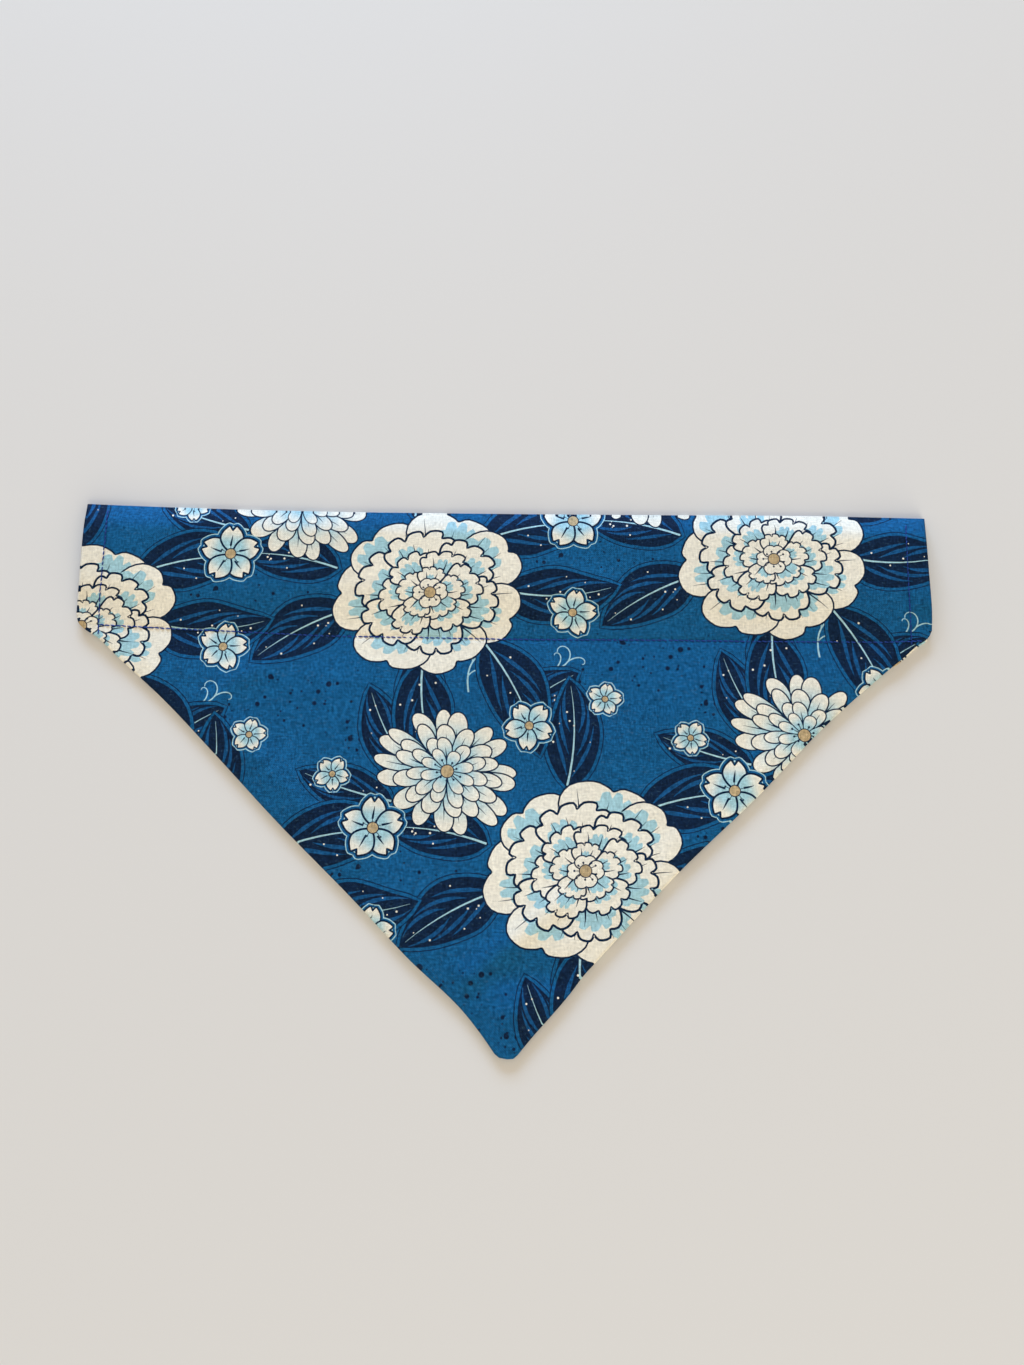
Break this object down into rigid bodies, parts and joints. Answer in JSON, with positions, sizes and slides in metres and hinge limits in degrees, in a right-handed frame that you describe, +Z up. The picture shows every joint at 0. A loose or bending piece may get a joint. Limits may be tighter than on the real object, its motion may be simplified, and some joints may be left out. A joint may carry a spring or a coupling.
{
  "type": "slip-on collar bandana",
  "caption": "Pointed cotton bandana of two sewn panels with a channel along its straight edge that slides onto a pet collar, lying flat.",
  "frame": {"origin": "middle of the bandana's box, on the surface that it lies on", "axes": "+X along the width, +Y from the point to the straight top edge, +Z up out of the printed front"},
  "size_m": [0.3712, 0.2298, 0.0086],
  "materials": {
    "front_cotton": "printed plain-weave cotton, matt",
    "back_cotton": "printed plain-weave cotton, matt"
  },
  "bodies": {
    "root": {"front_panel": "front_cotton", "back_panel": "back_cotton"}
  },
  "joints": []
}
